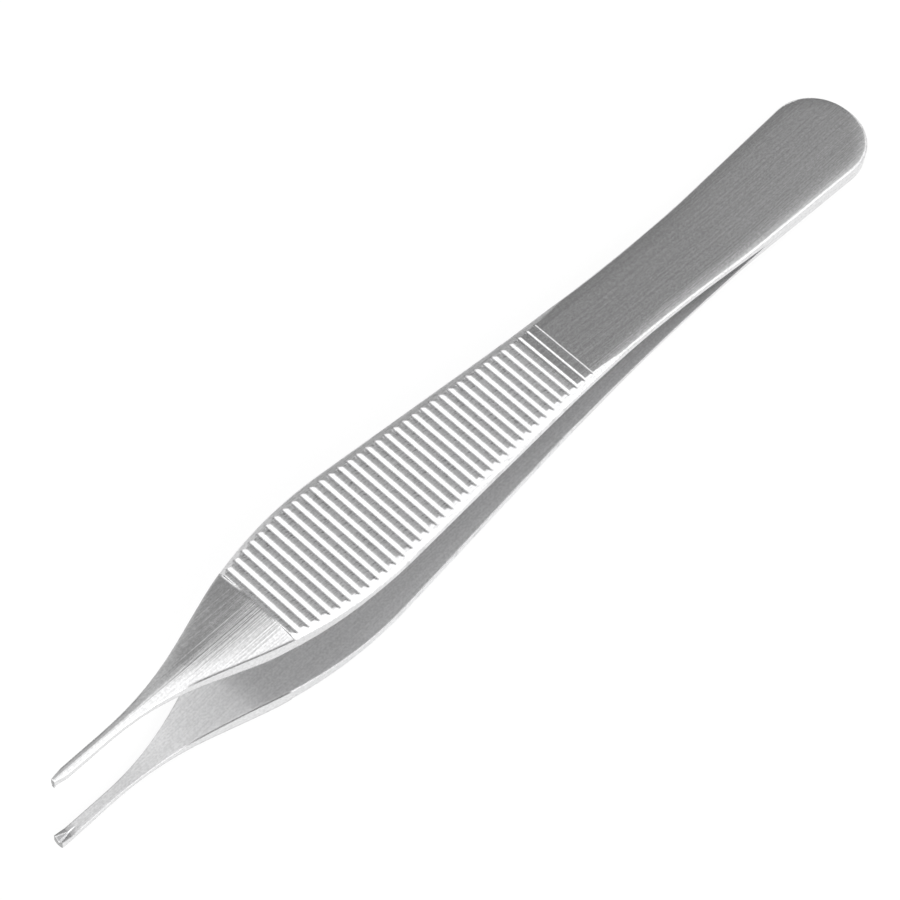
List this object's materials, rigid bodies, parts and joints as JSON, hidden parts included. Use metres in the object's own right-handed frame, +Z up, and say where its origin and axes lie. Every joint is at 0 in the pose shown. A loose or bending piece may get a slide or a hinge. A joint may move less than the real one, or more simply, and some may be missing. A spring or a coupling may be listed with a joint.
{
  "type": "toothed thumb forceps",
  "caption": "Thumb forceps of brushed steel: sprung arms joined at the heel, with a ribbed grip and slim toothed tips for holding tissue.",
  "frame": {"origin": "on the surface that the forceps lies on, under the middle of its bounding box", "axes": "+X towards the tips, +Y across the arms, +Z up from the surface it lies on"},
  "size_m": [0.1202, 0.0134, 0.0163],
  "materials": {
    "steel": "satin"
  },
  "bodies": {
    "root": {"upper_arm": "steel", "lower_arm": "steel"}
  },
  "joints": []
}
